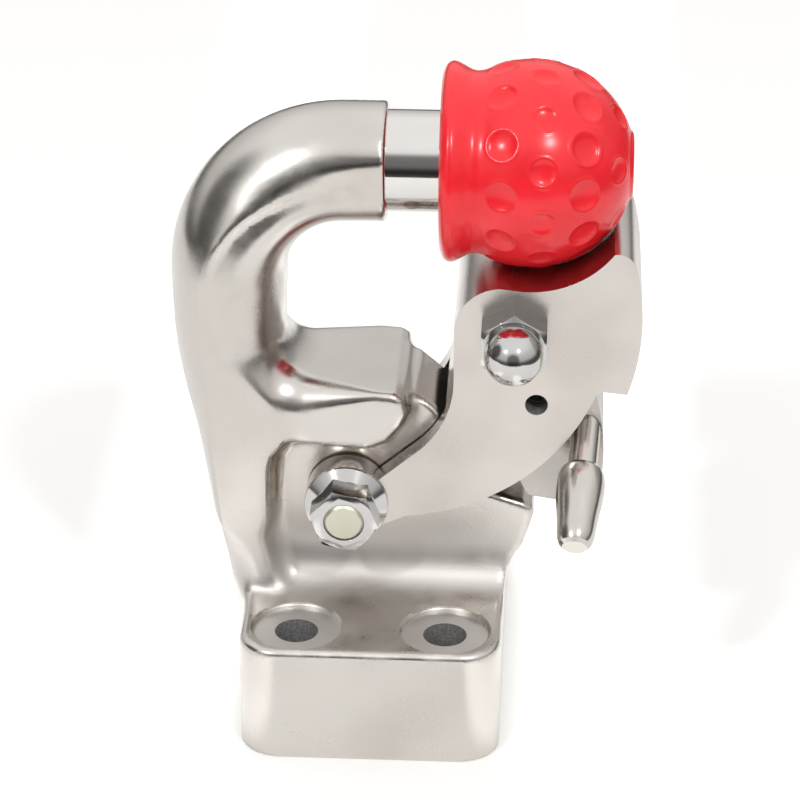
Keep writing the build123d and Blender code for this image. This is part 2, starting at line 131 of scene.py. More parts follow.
class Shader:
    """A node tree with one method that makes nodes."""

    def __init__(self, tree):
        self.tree = tree
        tree.nodes.clear()

    def node(self, kind, settings=(), sockets=()):
        """New node: attributes from settings, then values or links for the named sockets."""
        made = self.tree.nodes.new(kind)
        for name, value in dict(settings).items():
            setattr(made, name, value)
        for name, value in dict(sockets).items():
            socket = made.inputs[name]
            if isinstance(value, Value):
                value = value.socket
            if isinstance(value, bpy.types.NodeSocket):
                self.tree.links.new(value, socket)
            else:
                socket.default_value = value
        return made

    def value(self, socket):
        """A socket that can be used in sums."""
        return Value(self.tree, socket)

    def noise(self, coordinates, scale, detail=3.0, roughness=0.5):
        """Noise from 0 to 1; scale is in features per metre."""
        made = self.node(
            "ShaderNodeTexNoise",
            {"noise_dimensions": "3D"},
            {"Vector": coordinates, "Scale": scale, "Detail": detail, "Roughness": roughness},
        )
        return self.value(made.outputs["Fac"])

    def stretched(self, coordinates, stretch):
        """Coordinates multiplied by a vector, so that noise turns into streaks."""
        made = self.node("ShaderNodeVectorMath", {"operation": "MULTIPLY"})
        self.tree.links.new(coordinates, made.inputs[0])
        made.inputs[1].default_value = stretch
        return made.outputs[0]

    def blend(self, share, first, second):
        """Colour between two colours."""
        made = self.node("ShaderNodeMix", {"data_type": "RGBA"}, {0: share})
        for number, colour in ((6, first), (7, second)):
            if isinstance(colour, bpy.types.NodeSocket):
                self.tree.links.new(colour, made.inputs[number])
            else:
                made.inputs[number].default_value = (*colour, 1.0)
        return made.outputs[2]


class Finish(Shader):
    """A material with one Principled BSDF."""

    def __init__(self, name, metallic, coat=0.0):
        self.material = bpy.data.materials.new(name)
        self.material.use_nodes = True
        super().__init__(self.material.node_tree)
        self.surface = self.node("ShaderNodeBsdfPrincipled", {}, {"Metallic": metallic, "Coat Weight": coat})
        output = self.node("ShaderNodeOutputMaterial")
        self.tree.links.new(self.surface.outputs[0], output.inputs["Surface"])
        self.place = self.node("ShaderNodeTexCoord").outputs["Object"]

    def set(self, **inputs):
        """Colour, roughness and normal of the surface, as numbers or links."""
        names = {"colour": "Base Color", "roughness": "Roughness", "normal": "Normal"}
        for name, value in inputs.items():
            socket = self.surface.inputs[names[name]]
            if isinstance(value, Value):
                value = value.socket
            if isinstance(value, bpy.types.NodeSocket):
                self.tree.links.new(value, socket)
            else:
                socket.default_value = value

    def bump(self, height, strength, distance):
        """Normal from a height between 0 and 1; distance is in metres."""
        made = self.node(
            "ShaderNodeBump", {}, {"Height": height, "Strength": strength, "Distance": distance}
        )
        return made.outputs[0]


# %% [markdown]
# ## Finishes
#
# The castings are stainless steel that was blasted and then polished by hand, so their gloss changes
# softly from place to place and the light parts look a little warm. The latch's cheeks were ground
# flat, which leaves short streaks. Neck and nuts are close to mirrors. The cap is moulded rubber with a
# satin gloss. Noise drives roughness and a very shallow bump; there are no images.

# %% Steel finishes


def cast_steel(name, light, dark, rough_low, rough_high, grain, rough_spot=None):
    """Polished casting: soft patches of gloss, faint clouds of tone and a fine skin.

    rough_spot is a place, in millimetres, where the polishing wheel didn't reach. The hollow foot
    above the block is duller too, for the same reason.
    """
    finish = Finish(name, 1.0)
    dull = 0.0
    clouds = finish.noise(finish.place, 30.0, 1.5, 0.45)
    patches = finish.noise(finish.place, 95.0, 3.0, 0.6)
    skin = finish.noise(finish.place, 900.0, 1.0, 0.5)
    if rough_spot:
        away = finish.node("ShaderNodeVectorMath", {"operation": "DISTANCE"})
        finish.tree.links.new(finish.place, away.inputs[0])
        away.inputs[1].default_value = Vector(rough_spot) * MM
        reach = finish.value(away.outputs["Value"]) + 0.012 * (patches - 0.5)
        skin = skin * (1.0 + 14.0 * (1.0 - reach.ramp(0.004, 0.020)))
        parts = finish.node("ShaderNodeSeparateXYZ", {}, {0: finish.place})
        height = finish.value(parts.outputs["Z"]) + 0.010 * (patches - 0.5)
        dull = height.ramp(0.034, 0.040) * (1.0 - height.ramp(0.050, 0.070))
    finish.set(
        colour=finish.blend(clouds.ramp(0.35, 0.70), light, dark),
        roughness=rough_low + (rough_high - rough_low) * patches.ramp(0.3, 0.72) + 0.20 * dull,
        normal=finish.bump(skin * 0.0001 * grain + clouds * 0.00025, 1.0, 1.0),
    )
    return finish.material


def ground_steel(name, light, dark, stretch, rough_low, rough_high, strength):
    """Ground or brushed steel: streaks along one axis."""
    finish = Finish(name, 1.0)
    streaks = finish.noise(finish.stretched(finish.place, stretch), 1.0, 4.0, 0.6)
    clouds = finish.noise(finish.place, 36.0, 2.0, 0.5)
    finish.set(
        colour=finish.blend(clouds.ramp(0.3, 0.7), light, dark),
        roughness=rough_low + (rough_high - rough_low) * (0.6 * streaks + 0.4 * clouds),
        normal=finish.bump(streaks, strength, 0.00005),
    )
    return finish.material


def mirror_steel(name, colour, roughness):
    """Bright turned steel with the faintest unevenness."""
    finish = Finish(name, 1.0)
    haze = finish.noise(finish.place, 160.0, 2.0, 0.5)
    finish.set(
        colour=finish.blend(haze, colour, tuple(0.94 * part for part in colour)),
        roughness=roughness + 0.05 * haze,
        normal=finish.bump(haze, 0.05, 0.0001),
    )
    return finish.material


def grit_steel(name, light, dark):
    """Unpolished blasted wall inside a hole."""
    finish = Finish(name, 0.35)
    grit = finish.noise(finish.place, 1500.0, 3.0, 0.7)
    finish.set(
        colour=finish.blend(grit.ramp(0.35, 0.68), dark, light),
        roughness=0.55 + 0.25 * grit,
        normal=finish.bump(grit, 0.3, 0.0002),
    )
    return finish.material


casting = cast_steel(
    "satin casting", (0.66, 0.632, 0.598), (0.59, 0.56, 0.525), 0.19, 0.29, 0.04, rough_spot=(33, -16, 53)
)
# the lever is the body's cast steel with a darker colour: painted shade for where it sits between the
# latch's cheeks
lever_casting = cast_steel("lever casting", (0.50, 0.475, 0.445), (0.40, 0.38, 0.355), 0.24, 0.36, 0.25)
cheek_steel = ground_steel(
    "ground cheek", (0.655, 0.615, 0.578), (0.575, 0.535, 0.50), (90, 90, 700), 0.22, 0.31, 0.10
)
spot_steel = ground_steel(
    "milled spot face", (0.78, 0.765, 0.745), (0.68, 0.665, 0.645), (500, 500, 500), 0.42, 0.55, 0.15
)
neck_steel = mirror_steel("mirror neck", (0.74, 0.72, 0.70), 0.05)
nut_steel = mirror_steel("bright nut", (0.60, 0.59, 0.585), 0.09)
pull_steel = mirror_steel("turned pull", (0.62, 0.59, 0.55), 0.17)
bolt_steel = ground_steel(
    "satin bolt", (0.70, 0.68, 0.57), (0.60, 0.58, 0.48), (600, 600, 600), 0.34, 0.46, 0.2
)
spring_steel = mirror_steel("spring wire", (0.55, 0.55, 0.56), 0.25)
bronze = mirror_steel("bearing bronze", (0.72, 0.52, 0.28), 0.28)
hole_wall = grit_steel("grit in the holes", (0.36, 0.35, 0.345), (0.20, 0.20, 0.20))
print("steel and bronze finishes", len(bpy.data.materials))

# %% Rubber finish


def moulded_rubber():
    """Red rubber with a satin gloss and faint moulding flow."""
    finish = Finish("red rubber", 0.0)
    flow = finish.noise(finish.place, 120.0, 3.0, 0.5)
    finish.set(
        colour=finish.blend(flow.ramp(0.3, 0.7), (0.95, 0.022, 0.034), (0.86, 0.016, 0.026)),
        roughness=0.20 + 0.07 * flow,
        normal=finish.bump(flow, 0.08, 0.0002),
    )
    return finish.material


rubber = moulded_rubber()
print("finishes", len(bpy.data.materials))

# %% [markdown]
# ## Implicit shapes
#
# A casting has no sharp inner corners: every face runs into the next through a fillet. Subdivision or
# bevels struggle where a round spine, a thick jaw and a thin web meet, so the body is a signed distance
# field instead: plates and a swept section are joined with round unions whose radius is the fillet.
# The surface is then read off a grid, one vertex per crossed cell, and pulled exactly onto the field.

# %% Distance functions


def arc_points(centre, radius, start, end, count=14):
    """Points on an arc, angles in degrees."""
    angles = np.radians(np.linspace(start, end, count))
    return [(centre[0] + radius * cos(a), centre[1] + radius * sin(a)) for a in angles]


def outline_distance(x, z, points):
    """Signed distance to a closed outline, negative inside."""
    nearest = np.full(np.shape(x), np.inf)
    inside = np.zeros(np.shape(x), bool)
    for (ax, az), (bx, bz) in zip(points, points[1:] + points[:1]):
        dx, dz = bx - ax, bz - az
        share = np.clip(((x - ax) * dx + (z - az) * dz) / (dx * dx + dz * dz), 0, 1)
        nearest = np.minimum(nearest, np.hypot(x - ax - share * dx, z - az - share * dz))
        if dz:
            crosses = ((az > z) != (bz > z)) & (x < ax + (z - az) * dx / dz)
            inside ^= crosses
    return np.where(inside, -nearest, nearest)


def rounded_both(first, second, radius):
    """Inside both, with the edge where they meet rounded."""
    out = np.hypot(np.maximum(first + radius, 0), np.maximum(second + radius, 0)) - radius
    return out + np.minimum(np.maximum(first, second) + radius, 0)


def filleted_union(first, second, radius):
    """Inside either, with a fillet in the corner between them."""
    corner = np.hypot(np.maximum(radius - first, 0), np.maximum(radius - second, 0))
    return np.maximum(radius, np.minimum(first, second)) - corner


def swept_union(first, second, reach):
    """Inside either, with a hollow blend whose curve fades out over a distance called reach."""
    near = np.maximum(reach - np.abs(first - second), 0) / reach
    return np.minimum(first, second) - near**2 * reach / 4


def plate(x, y, z, points, half, edge):
    """Flat plate across Y with an outline in X and Z and rounded edges."""
    return rounded_both(outline_distance(x, z, points), np.abs(y) - half, edge)


# %% [markdown]
# ## Spine and horn
#
# One section is swept up the back, round the bend and out to the ball. Its back is a round crown, its
# sides are flat down to a ridge, and its throat side is an ellipse. On the way the flat sides shrink
# until the section is a full circle, which is why the sizes are blended along the bend.

# %% Hook body field

BEND_RADIUS = 34.6
BEND = (-9.5, BALL[1] - BEND_RADIUS)
HORN_RADIUS = 17.2
HORN_END = 3.0
HORN_EDGE = 1.4
BODY_HALF = 24.0
BODY_EDGE = 1.0
WEB_HALF = 15.5
WEB_EDGE = 2.0
BLOCK_HALF = 39.0
BLOCK_HEIGHT = 37.0
BLOCK_CORNER = 12.0
BLOCK_EDGE = 2.2
DISC_RADIUS = 38.5

# radius of the fillet in the throat, and reach of the blends into the block and into the web
JAW_FILLET = 11.0
BLOCK_REACH = 19.0
WEB_REACH = 6.0

# sizes of the spine's section at each height
LIP_RIGHT = 47.8
SPINE_HEIGHTS = (20, 30, 42, 60, 82, 104, 120, BEND[1])
SPINE_BACK = (-38.9, -43.6, -47.3, -50.4, -54.2, -59.0, -61.2, -61.3)
SPINE_RIDGE = (-33.0, -33.6, -34.6, -42.6, -46.8, -48.3, -49.2, -49.6)
SPINE_FLAT = (-31.0, -31.0, -32.0, -36.0, -38.5, -41.0, -42.4, -42.2)
SPINE_THROAT = (-27.0, -27.0, -28.0, -30.0, -30.0, -27.6, -27.4, -26.9)

# places along the bend, from 0 at the spine to 1 where the horn turns straight, and the sizes there
BEND_PLACES = (0, 0.13, 0.26, 0.39, 0.62, 0.8, 1, 1.23)
RIDGE_OFFSETS = (5.5, 5.0, 4.2, 2.8, 0.0, -0.6, 2.4, 4.4)
FLAT_OFFSETS = (-1.9, -2.2, -2.8, -3.8, -5.6, -6.4, -6.5, -6.0)
HALF_SIZES = (24.0, 23.75, 23.2, 22.2, 19.9, 18.5, 17.3, 16.7)

# how far the crown stands inside the full width, and the least height of crown and throat side
CROWN_SHAVE = 0.6
THINNEST = 0.5
RIDGE_EDGE = 0.5

# the sunk side: its depth and width, the height and the place on the bend where it ends, and its fades
SIDE_SINK = 0.9
SINK_WIDTH = 2.2
SINK_FOOT = 108.0
SINK_FADE = 22.0
SINK_END = 1.15
SINK_RUN = 0.4


def eased(place, places, sizes):
    """Size at a place, on a smooth curve through the listed sizes."""
    places, sizes = np.array(places, float), np.array(sizes, float)
    slopes = np.gradient(sizes, places)
    slopes[0] = slopes[-1] = 0
    place = np.clip(place, places[0], places[-1])
    k = np.clip(np.searchsorted(places, place) - 1, 0, len(places) - 2)
    gap = places[k + 1] - places[k]
    t = (place - places[k]) / gap
    start = sizes[k] * (1 + 2 * t) * (1 - t) ** 2 + slopes[k] * gap * t * (1 - t) ** 2
    return start + sizes[k + 1] * t**2 * (3 - 2 * t) - slopes[k + 1] * gap * t**2 * (1 - t)


def along_spine(share, straight, z, heights_sizes, bend_sizes):
    """A size that follows the spine's heights and then the places along the bend."""
    low = BEND[0] - eased(z, SPINE_HEIGHTS, heights_sizes)
    return np.where(straight, low, BEND_RADIUS + eased(share, BEND_PLACES, bend_sizes))


def spine_field(x, y, z):
    """Distance to the swept spine and horn."""
    straight = z < BEND[1]
    beyond = (x > BEND[0]) & ~straight
    turn = np.arctan2(np.maximum(z - BEND[1], 0), np.maximum(BEND[0] - x, 1e-6))
    past = 1 + (x - BEND[0]) / (BEND_RADIUS * pi / 2)
    share = np.where(straight, 0, np.where(beyond, past, turn / (pi / 2)))
    out = np.where(straight, BEND[0] - x, np.where(beyond, z - BEND[1], np.hypot(x - BEND[0], z - BEND[1])))
    crown = along_spine(share, straight, z, SPINE_BACK, [HORN_RADIUS] * len(BEND_PLACES))
    ridge = along_spine(share, straight, z, SPINE_RIDGE, RIDGE_OFFSETS)
    flat = along_spine(share, straight, z, SPINE_FLAT, FLAT_OFFSETS)
    throat = along_spine(share, straight, z, SPINE_THROAT, [-HORN_RADIUS] * len(BEND_PLACES))
    half = eased(share, BEND_PLACES, HALF_SIZES)
    # the flat side lies a little below the crown, which leaves a crisp ridge between them
    sunk = np.clip((ridge - out) / SINK_WIDTH, 0, 1) * np.clip((SINK_END - share) / SINK_RUN, 0, 1)
    sunk = sunk * np.clip((z - SINK_FOOT) / SINK_FADE, 0, 1)
    side = half - SIDE_SINK * sunk * sunk * (3 - 2 * sunk)
    rise = np.maximum(crown - ridge, THINNEST)
    crown_radius = ((half + CROWN_SHAVE) ** 2 + rise**2) / (2 * rise)
    crown_centre = crown - crown_radius
    y = np.abs(y)
    outer = np.where(out > crown_centre, np.hypot(out - crown_centre, y), y) - crown_radius
    depth = np.maximum(flat - throat, THINNEST)
    behind = np.maximum(flat - out, 0)
    level = np.sqrt((behind / depth) ** 2 + (y / side) ** 2) + 1e-9
    slope = np.sqrt((behind / depth**2) ** 2 + (y / side**2) ** 2) / level + 1e-9
    inner = (level - 1) / slope
    tube = rounded_both(outer, inner, RIDGE_EDGE)
    return rounded_both(tube, x - HORN_END, HORN_EDGE)


WEB = (
    [(-36, 20), (39.2, 20), (39.2, 38), (39.8, 43.6), (41.6, 47), (44.4, 50.6), (46.6, 57)]
    + [(LIP_RIGHT, 61.5), (LIP_RIGHT - 0.6, 64.2), (LIP_RIGHT - 3, 65.4), (36, 68.3)]
    + arc_points(PIVOT, DISC_RADIUS, 2, 58)
    + [(0, 98), (-36, 98)]
)
JAW = [
    (-44, 110), (-28.3, 107.9), (6.2, 105.2), (8.6, 103.6), (9.6, 98.5), (7.6, 94.2),
    (3.6, 89.3), (-2.1, 86.5), (-13.4, 87.2), (-26.5, 88.6), (-33.0, 84.8), (-35.2, 79.0),
    (-36.5, 64), (-43, 62),
]
LEFT_HEIGHTS = (0, 14, 20, 26, 36, 49, 66, 90, 190)
LEFT_LIMIT = (-39, -39, -39.6, -41.9, -45.8, -49.0, -52.0, -58.0, -64)
RIGHT_HEIGHTS = (0, 38, 43.6, 47, 50.6, 57, 61.5, 63, 190)
RIGHT_LIMIT = (39, 39.1, 39.8, 41.6, 44.4, 46.6, 47.8, 80, 80)


def hook_field(x, y, z):
    """Distance to the whole body: block, web, jaw, spine and horn."""
    y = np.abs(y)
    straight_x, straight_y = BLOCK_HALF - BLOCK_CORNER, BODY_HIGH[1] - BLOCK_CORNER
    beside = np.hypot(np.maximum(np.abs(x) - straight_x, 0), np.maximum(y - straight_y, 0))
    within = np.minimum(np.maximum(np.abs(x) - straight_x, y - straight_y), 0)
    block = rounded_both(beside + within - BLOCK_CORNER, z - BLOCK_HEIGHT, BLOCK_EDGE)
    # the jaw's edges are tight at its tip and full where it grows out of the spine
    jaw_edge = np.interp(x, (-30, 0), (14.0, 2.8)) * np.interp(z, (88, 98), (0.2, 1))
    jaw = plate(x, y, z, JAW, BODY_HALF, np.maximum(jaw_edge, 2.6))
    upper = filleted_union(spine_field(x, y, z), jaw, JAW_FILLET)
    upper = rounded_both(upper, y - BODY_HALF, BODY_EDGE)
    lower = swept_union(plate(x, y, z, WEB, WEB_HALF, WEB_EDGE), block, BLOCK_REACH)
    whole = swept_union(upper, lower, WEB_REACH)
    whole = np.maximum(whole, np.interp(z, LEFT_HEIGHTS, LEFT_LIMIT) - x)
    whole = np.maximum(whole, x - np.interp(z, RIGHT_HEIGHTS, RIGHT_LIMIT))
    return np.maximum(whole, -z)


print("web outline", len(WEB), "points, jaw", len(JAW), "points")

# %% [markdown]
# ## Reading the surface off the field
#
# Each grid cell that the surface crosses gets one vertex at the mean of its edge crossings, and each
# crossed grid edge becomes one quad. That keeps the mesh even and small. A few Newton steps along the
# field's gradient then put every vertex on the true surface, so flat faces are flat.

# %% Surface extraction

# the grid starts off the round millimetres, so that flat faces fall between its points
GRID_START = 1.37
SETTLE_PASSES = 4
SAMPLE_REACH = 0.02
LONGEST_MOVE = 0.4
FLATTEST = 0.05


def surface_net(field, low, high, step):
    """Vertices and quads of the field's zero surface inside a box."""
    axes = [np.arange(low[k] - GRID_START * step, high[k] + 2 * step, step) for k in range(3)]
    grid = np.meshgrid(*axes, indexing="ij")
    values = field(*grid)
    inside = values < 0
    shape = np.array(values.shape) - 1
    total = np.zeros((*shape, 3))
    count = np.zeros(shape)
    corners = [np.array((i, j, k)) for i in (0, 1) for j in (0, 1) for k in (0, 1)]
    for start in corners:
        for axis in range(3):
            if start[axis]:
                continue
            end = start.copy()
            end[axis] = 1
            first = tuple(slice(start[a], start[a] + shape[a]) for a in range(3))
            second = tuple(slice(end[a], end[a] + shape[a]) for a in range(3))
            crossed = inside[first] != inside[second]
            a, b = values[first][crossed], values[second][crossed]
            spot = np.repeat(start[None, :].astype(float), len(a), 0)
            spot[:, axis] += a / (a - b)
            total[crossed] += spot
            count[crossed] += 1
    used = count > 0
    index = np.full(shape, -1)
    index[used] = np.arange(used.sum())
    cells = np.argwhere(used)
    origin = np.array([axis[0] for axis in axes])
    points = origin + step * (cells + total[used] / count[used][:, None])
    quads = []
    for axis in range(3):
        u, v = (axis + 1) % 3, (axis + 2) % 3
        core = [slice(1, -1)] * 3
        core[axis] = slice(0, -1)
        ahead = list(core)
        ahead[axis] = slice(1, None)
        first, second = inside[tuple(core)], inside[tuple(ahead)]
        for flip, mask in ((False, first & ~second), (True, ~first & second)):
            spots = np.argwhere(mask)
            spots += np.array([0 if a == axis else 1 for a in range(3)])
            ring = []
            for du, dv in ((0, 0), (-1, 0), (-1, -1), (0, -1)):
                cell = spots.copy()
                cell[:, u] += du
                cell[:, v] += dv
                ring.append(index[tuple(cell.T)])
            quad = np.stack(ring, 1)
            quads.append(quad[:, ::-1] if flip else quad)
    points = settle(field, points, step)
    return points, np.concatenate(quads)


def settle(field, points, step):
    """Moves points along the gradient onto the zero surface, by part of a cell in each pass."""
    steps = SAMPLE_REACH * np.eye(3)
    for _ in range(SETTLE_PASSES):
        here = field(*points.T)
        gradient = np.stack([
            (field(*(points + move).T) - field(*(points - move).T)) / (2 * SAMPLE_REACH)
            for move in steps
        ], 1)
        size = np.maximum((gradient**2).sum(1), FLATTEST)
        move = -(here / size)[:, None] * gradient
        length = np.maximum(np.linalg.norm(move, axis=1), 1e-9)
        points = points + move * np.minimum(1, LONGEST_MOVE * step / length)[:, None]
    return points


def mesh_object(name, points, faces):
    """Smooth-shaded object from points in millimetres."""
    mesh = bpy.data.meshes.new(name)
    mesh.from_pydata((np.asarray(points) * MM).tolist(), [], np.asarray(faces).tolist())
    mesh.update()
    mesh.shade_smooth()
    made = bpy.data.objects.new(name, mesh)
    bpy.context.scene.collection.objects.link(made)
    return made


def finish_piece(piece, material, body, slot, *nodes):
    """Gives a piece its finish, its body and the CAD nodes it stands for."""
    if material:
        piece.data.materials.clear()
        piece.data.materials.append(material)
    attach(piece, body)
    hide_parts(*nodes)


# %% [markdown]
# ## The hook body
#
# Holes are cut after the surface is made, because a cylinder cut gives a crisp rim that a grid
# cannot. Spot faces are wide shallow cylinders, and the cutters of the bolt holes and of the pivot bore
# go right through. The walls of the bolt holes keep a rough, dark finish, and the spot faces a milled
# one.
#
# Known fault: over both rear bolt holes, at positive Y, the cuts leave a thin face level with the top
# of the block, which hides the holes. The two front holes are open.

# %% Hook body piece


def cylinder(centre, axis, radius, length, flare=0.0, sides=96):
    """Cylinder in millimetres, used as a cutter; flare widens its far end into a cone."""
    turn = Vector(axis).to_track_quat("Z", "Y").to_matrix().to_4x4()
    mesh = bpy.data.meshes.new("cutter")
    solid = bmesh.new()
    bmesh.ops.create_cone(
        solid, cap_ends=True, segments=sides, radius1=radius * MM, radius2=(radius + flare) * MM,
        depth=length * MM, matrix=Matrix.Translation(Vector(centre) * MM) @ turn,
    )
    solid.to_mesh(mesh)
    solid.free()
    made = bpy.data.objects.new("cutter", mesh)
    bpy.context.scene.collection.objects.link(made)
    return made


def cut(piece, cutters):
    """Takes the cutters out of a piece for good and deletes them."""
    for cutter in cutters:
        modifier = piece.modifiers.new("cut", "BOOLEAN")
        modifier.operation = "DIFFERENCE"
        modifier.solver = "EXACT"
        modifier.object = cutter
    solid = bpy.data.meshes.new_from_object(piece.evaluated_get(bpy.context.evaluated_depsgraph_get()))
    piece.modifiers.clear()
    piece.data = solid
    for cutter in cutters:
        bpy.data.objects.remove(cutter)


GRID_STEP = 1.0
MARGIN = 0.5
points, quads = surface_net(hook_field, BODY_LOW - MARGIN, BODY_HIGH + MARGIN, GRID_STEP)
hook = mesh_object("hook_casting", points, quads)
print("hook body quads", len(quads))

pattern = MOUNTS["mounting_holes"]["dims"]
SPOT_RADIUS = 13.0
SPOT_DEPTH = 1.8
RIM = 0.8
PIVOT_BORE = 7.65

# cutters reach past what they cut: through cuts and spot faces well past, rims by half of SLACK
THROUGH_LENGTH = 60.0
HOLE_MIDDLE = 18.0
SPOT_LENGTH = 20.0
SLACK = 0.02
UP = (0, 0, 1)
hole_centres = [
    (side_x * pattern["spacing_x_mm"] / 2, side_y * pattern["spacing_y_mm"] / 2)
    for side_x in (-1, 1)
    for side_y in (-1, 1)
]
cutters = [
    cylinder((x, y, HOLE_MIDDLE), UP, pattern["hole_r_mm"], THROUGH_LENGTH) for x, y in hole_centres
]
cutters += [
    cylinder((x, y, BLOCK_HEIGHT - SPOT_DEPTH + SPOT_LENGTH / 2), UP, SPOT_RADIUS, SPOT_LENGTH)
    for x, y in hole_centres
]
cutters += [
    cylinder((x, y, BLOCK_HEIGHT - RIM + RIM / 2), UP, SPOT_RADIUS, RIM + SLACK, RIM)
    for x, y in hole_centres
]
cutters.append(cylinder((PIVOT[0], 0, PIVOT[1]), (0, 1, 0), PIVOT_BORE, THROUGH_LENGTH))
cut(hook, cutters)
for material in (casting, hole_wall, spot_steel):
    hook.data.materials.append(material)
for face in hook.data.polygons:
    x, y, z = face.center / MM
    away = min(sqrt((x - cx) ** 2 + (y - cy) ** 2) for cx, cy in hole_centres)
    if away < pattern["hole_r_mm"] + 0.2 and abs(face.normal.z) < 0.5:
        face.material_index = 1
    elif away < SPOT_RADIUS - 0.1 and face.normal.z > 0.9 and z < BLOCK_HEIGHT - SPOT_DEPTH / 2:
        face.material_index = 2
hook.data.set_sharp_from_angle(angle=radians(38))
finish_piece(hook, None, "hook", "polished_casting", "hook_body")
print("cuts", len(cutters), "faces after them", len(hook.data.polygons))

# %% [markdown]
# ## Rubber cap
#
# The cap is a turned shape: a ball, a waist, a flared rim and a rolled mouth. The profile is spun and
# then pushed in by round dimples, four rings of them, every second ring turned by half a step. Each
# dimple is a shallow cup with a slightly raised lip.

# %% Cap piece

CAP_RADIUS = 30.2
CAP_DISC = 10.0
DIMPLE_RINGS = ((-8.5, 12, 3.0, 4.4), (3.5, 12, 18.0, 3.9), (15.5, 12, 3.0, 4.7), (25.0, 6, 18.0, 3.7))
CAP_SPIN = 320
CAP_SPACING = 0.62

# dimples press only on skin this near the ball's radius and right of the waist
SKIN_BAND = 1.2
WAIST = -15.5


def smooth_path(points, spacing):
    """Even points along a smooth curve through a few points (Catmull-Rom)."""
    points = np.array([points[0], *points, points[-1]], float)
    dense = []
    for k in range(1, len(points) - 2):
        before, start, end, after = points[k - 1:k + 3]
        for t in np.linspace(0, 1, 24, endpoint=False):
            dense.append(0.5 * (
                2 * start + (end - before) * t + (2 * before - 5 * start + 4 * end - after) * t**2
                + (3 * start - before - 3 * end + after) * t**3
            ))
    dense = np.array([*dense, points[-2]])
    run = np.concatenate([[0], np.cumsum(np.linalg.norm(np.diff(dense, axis=0), axis=1))])
    even = np.linspace(0, run[-1], int(run[-1] / spacing) + 2)
    return np.stack([np.interp(even, run, dense[:, k]) for k in range(2)], 1)


def dimple_depth(directions):
    """How far the skin moves in at each direction from the ball's centre."""
    depth = np.zeros(len(directions))
    for station, count, first, radius in DIMPLE_RINGS:
        ring = sqrt(CAP_RADIUS**2 - station**2)
        for k in range(count):
            turn = radians(first + 360 / count * k)
            centre = np.array((station, -ring * cos(turn), ring * sin(turn))) / CAP_RADIUS
            away = CAP_RADIUS * np.arccos(np.clip(directions @ centre, -1, 1)) / radius
            cup = np.sqrt(np.clip(1 - away**2, 0, 1)) ** 1.4
            lip = np.exp(-(((away - 1.06) / 0.09) ** 2))
            depth += 0.29 * radius * cup - 0.22 * lip
    return depth


def cap_piece():
    """The turned cap with its dimples, as one mesh."""
    edge_x = sqrt(CAP_RADIUS**2 - CAP_DISC**2)
    ball = arc_points((0, 0), CAP_RADIUS, 20, 117, 20)
    outside = smooth_path(
        [(edge_x + 0.9, 0), (edge_x + 0.9, 4), (edge_x + 0.9, 8.2), (edge_x + 0.6, 9.6)] + ball[:-1]
        + [(-13.9, 26.9), (-16.2, 26.5), (-18.2, 27.0), (-20.4, 28.2), (-22.2, 29.0), (-23.6, 29.2),
           (-25.0, 28.4), (-25.8, 27.0), (-26.3, 25.4), (-25.9, 24.4), (-24.6, 24.2), (-21.5, 24.0),
           (-18, 22.9), (-14, 22.2), (-12.4, 22.2)],
        CAP_SPACING,
    )
    turns = np.linspace(0, 2 * pi, CAP_SPIN, endpoint=False)
    along, radius = outside[:, :1], outside[:, 1:]
    x = np.repeat(along, CAP_SPIN, 1)
    y, z = -radius * np.cos(turns), radius * np.sin(turns)
    points = np.stack([x, y, z], -1).reshape(-1, 3)
    length = np.linalg.norm(points, axis=1)
    on_ball = (np.abs(length - CAP_RADIUS) < SKIN_BAND) & (points[:, 0] > WAIST)
    directions = points[on_ball] / length[on_ball][:, None]
    points[on_ball] -= directions * dimple_depth(directions)[:, None]
    points += (BALL[0], 0, BALL[1])
    rows = len(outside)
    row, column = np.meshgrid(np.arange(rows - 1), np.arange(CAP_SPIN), indexing="ij")
    after = (column + 1) % CAP_SPIN
    this, following = row * CAP_SPIN, (row + 1) * CAP_SPIN
    faces = np.stack([this + column, this + after, following + after, following + column], -1).reshape(-1, 4)
    made = mesh_object("cap_skin", points, faces)
    skin = bmesh.new()
    skin.from_mesh(made.data)
    bmesh.ops.remove_doubles(skin, verts=skin.verts, dist=1e-6)
    bmesh.ops.recalc_face_normals(skin, faces=skin.faces)
    skin.to_mesh(made.data)
    skin.free()
    made.data.shade_smooth()
    return made


cap = cap_piece()
finish_piece(cap, rubber, "cap", "red_rubber", "ball_cap")
print("cap faces", len(cap.data.polygons), "dimples", sum(ring[1] for ring in DIMPLE_RINGS))

# %% [markdown]
# ## Latch, lever and fasteners
#
# These were machined or cast with small edge radii, so their CAD shape is right and only its edges
# need softening. Each is copied, its flat faces are joined into single faces, and a narrow bevel
# rounds every edge that turns by more than 28 degrees.

# %% Softened pieces

FLAT_ANGLE = radians(0.6)
BEVEL_ANGLE = radians(28)
SHARP_ANGLE = radians(40)


